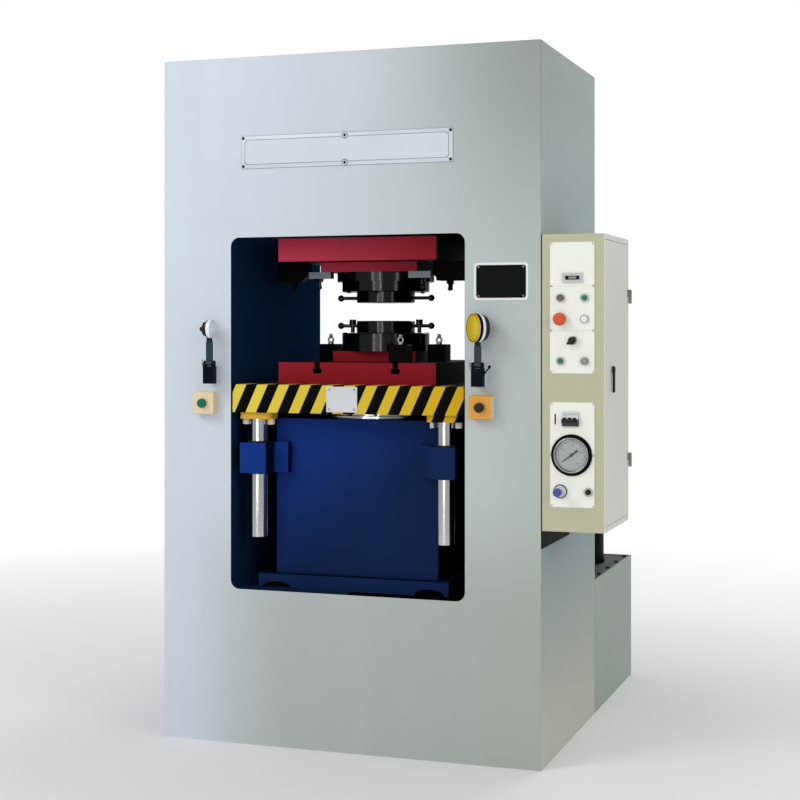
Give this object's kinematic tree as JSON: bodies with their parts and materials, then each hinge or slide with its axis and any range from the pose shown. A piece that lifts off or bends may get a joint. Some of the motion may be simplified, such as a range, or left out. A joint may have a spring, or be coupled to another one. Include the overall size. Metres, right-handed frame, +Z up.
{
  "type": "hydraulic press",
  "caption": "Upstroke hydraulic press with a box frame, guided moving table, round die holders, control cabinet on the side and an oil tank behind",
  "frame": {"origin": "On the floor under the press axis, in the middle of the box frame's foot", "axes": "+Z up, the operator stands on -Y and looks along +Y, +X to the operator's right"},
  "size_m": [1.5333, 1.6123, 2.3],
  "materials": {
    "frame_grey": "semi-gloss light grey paint",
    "tank_grey": "semi-gloss grey paint",
    "cover_grey": "dark grey paint",
    "black_paint": "semi-gloss black paint",
    "cast_grey": "cast grey iron",
    "pump_alloy": "cast aluminium",
    "block_steel": "milled steel",
    "pipe_steel": "drawn steel tube",
    "cylinder_blue": "gloss dark blue enamel",
    "chrome": "hard chrome",
    "bronze": "turned bronze",
    "table_paint": "yellow paint with black stripes on the front",
    "flange_yellow": "yellow paint",
    "bolt_steel": "dark zinc",
    "die_red": "gloss dark red paint",
    "black_steel": "gloss black paint",
    "strap_steel": "ground steel",
    "box_orange": "orange paint",
    "green_plastic": "gloss green",
    "black_plastic": "black plastic",
    "lamp_teal": "dark teal paint",
    "lamp_grey": "grey paint",
    "back_olive": "dark olive paint",
    "cabinet_beige": "beige paint",
    "panel_white": "pale plastic",
    "bezel_metal": "satin metal rings",
    "red_plastic": "gloss red",
    "blue_plastic": "gloss blue",
    "plate_zinc": "zinc plated sheet"
  },
  "bodies": {
    "frame": {"press_frame": "frame_grey", "oil_tank": "tank_grey", "tank_cover": "cover_grey", "filler_breather": "black_paint", "bell_housing": "black_paint", "motor_body": "black_paint", "fan_cowl": "black_paint", "gear_pump": "pump_alloy", "valve_manifold": "block_steel", "pressure_pipe": "pipe_steel", "cylinder_body": "cylinder_blue", "gland_ring": "chrome", "guide_blocks": "cylinder_blue", "guide_bushes": "bronze", "upper_bolster": "die_red", "upper_riser": "die_red", "upper_die_holder": "black_steel", "strap_clamps": "strap_steel", "stop_brackets": "black_steel", "button_boxes": "box_orange", "lamp_bases": "black_paint", "cabinet_back_plate": "back_olive", "cabinet_shell": "cabinet_beige", "upper_panel": "panel_white", "lower_panel": "panel_white", "unit_bodies": "bezel_metal", "stroke_counter": "black_plastic", "breaker_body": "black_plastic", "gauge_case": "black_paint", "mounting_plate": "plate_zinc"},
    "table": {"ram": "chrome", "moving_table": "table_paint", "guide_rods": "chrome", "rod_flanges": "flange_yellow", "flange_bolts": "bolt_steel", "lower_bolster": "die_red", "lower_riser": "die_red", "lower_die_holder": "black_steel", "clamp_blocks": "black_steel", "clamp_studs": "bolt_steel"},
    "lower_ring_body": {"lower_ring": "black_steel"},
    "upper_ring_body": {"upper_ring": "black_steel"},
    "left_hand_button_body": {"left_hand_button": "green_plastic"},
    "right_hand_button_body": {"right_hand_button": "black_plastic"},
    "left_lamp_arm_body": {"left_lamp_arm": "lamp_teal"},
    "left_lamp_head_body": {"left_lamp_head": "black_plastic"},
    "right_lamp_arm_body": {"right_lamp_arm": "lamp_grey"},
    "right_lamp_head_body": {"right_lamp_head": "black_plastic"},
    "cabinet_door_body": {"cabinet_door": "cabinet_beige"},
    "door_latch_body": {"door_latch": "black_plastic"},
    "pump_button_body": {"pump_button": "green_plastic"},
    "rise_button_body": {"rise_button": "green_plastic"},
    "dump_button_body": {"dump_button": "black_plastic"},
    "emergency_stop_body": {"emergency_stop": "red_plastic"},
    "mode_selector_body": {"mode_selector": "black_plastic"},
    "key_switch_body": {"key_switch": "chrome"},
    "regulator_knob_body": {"regulator_knob": "blue_plastic"},
    "breaker_toggles_body": {"breaker_toggles": "black_plastic"},
    "gauge_pointer_body": {"gauge_pointer": "black_paint"}
  },
  "joints": [
    {"name": "table_lift", "type": "slide", "parent": "frame", "child": "table", "axis": [0, 0, 1], "range_m": [0, 0.06]},
    {"name": "lower_ring_turn", "type": "hinge", "parent": "table", "child": "lower_ring_body", "pos_m": [0, 0, 1.397], "axis": [0, 0, 1], "range_deg": [-30, 30]},
    {"name": "upper_ring_turn", "type": "hinge", "parent": "frame", "child": "upper_ring_body", "pos_m": [0, 0, 1.5], "axis": [0, 0, 1], "range_deg": [-30, 30]},
    {"name": "left_hand_press", "type": "slide", "parent": "frame", "child": "left_hand_button_body", "axis": [0, 1, 0], "range_m": [0, 0.005], "stiffness_N_per_m": 500, "springref_m": -0.003},
    {"name": "right_hand_press", "type": "slide", "parent": "frame", "child": "right_hand_button_body", "axis": [0, 1, 0], "range_m": [0, 0.005], "stiffness_N_per_m": 500, "springref_m": -0.003},
    {"name": "left_lamp_tilt", "type": "hinge", "parent": "frame", "child": "left_lamp_arm_body", "pos_m": [-0.465, -0.4525, 1.275], "axis": [1, 0, 0], "range_deg": [0, 75]},
    {"name": "left_lamp_swivel", "type": "hinge", "parent": "left_lamp_arm_body", "child": "left_lamp_head_body", "pos_m": [-0.465, -0.4525, 1.353], "axis": [0, 0, 1], "range_deg": [-60, 60]},
    {"name": "right_lamp_tilt", "type": "hinge", "parent": "frame", "child": "right_lamp_arm_body", "pos_m": [0.467, -0.4525, 1.275], "axis": [1, 0, 0], "range_deg": [0, 75]},
    {"name": "right_lamp_swivel", "type": "hinge", "parent": "right_lamp_arm_body", "child": "right_lamp_head_body", "pos_m": [0.467, -0.4525, 1.341], "axis": [0, 0, 1], "range_deg": [-60, 60]},
    {"name": "door_swing", "type": "hinge", "parent": "frame", "child": "cabinet_door_body", "pos_m": [0.8675, -0.012, 1.2205], "axis": [0, 0, 1], "range_deg": [0, 110]},
    {"name": "latch_turn", "type": "hinge", "parent": "cabinet_door_body", "child": "door_latch_body", "pos_m": [0.868, -0.297, 1.261], "axis": [1, 0, 0], "range_deg": [0, 90]},
    {"name": "pump_press", "type": "slide", "parent": "frame", "child": "pump_button_body", "axis": [0, 1, 0], "range_m": [0, 0.004], "stiffness_N_per_m": 400, "springref_m": -0.003},
    {"name": "rise_press", "type": "slide", "parent": "frame", "child": "rise_button_body", "axis": [0, 1, 0], "range_m": [0, 0.004], "stiffness_N_per_m": 400, "springref_m": -0.003},
    {"name": "dump_press", "type": "slide", "parent": "frame", "child": "dump_button_body", "axis": [0, 1, 0], "range_m": [0, 0.004], "stiffness_N_per_m": 400, "springref_m": -0.003},
    {"name": "stop_press", "type": "slide", "parent": "frame", "child": "emergency_stop_body", "axis": [0, 1, 0], "range_m": [0, 0.005]},
    {"name": "selector_turn", "type": "hinge", "parent": "frame", "child": "mode_selector_body", "pos_m": [0.76, -0.4055, 1.3525], "axis": [0, 1, 0], "range_deg": [-45, 45]},
    {"name": "key_turn", "type": "hinge", "parent": "frame", "child": "key_switch_body", "pos_m": [0.799, -0.4055, 1.42], "axis": [0, 1, 0], "range_deg": [0, 90]},
    {"name": "regulator_turn", "type": "hinge", "parent": "frame", "child": "regulator_knob_body", "pos_m": [0.7225, -0.4055, 0.8815], "axis": [0, 1, 0], "range_deg": [0, 270]},
    {"name": "breaker_throw", "type": "hinge", "parent": "frame", "child": "breaker_toggles_body", "pos_m": [0.7545, -0.4165, 1.108], "axis": [-1, 0, 0], "range_deg": [0, 50]},
    {"name": "pointer_turn", "type": "hinge", "parent": "frame", "child": "gauge_pointer_body", "pos_m": [0.758, -0.4105, 0.9955], "axis": [0, 1, 0], "range_deg": [0, 270]}
  ]
}
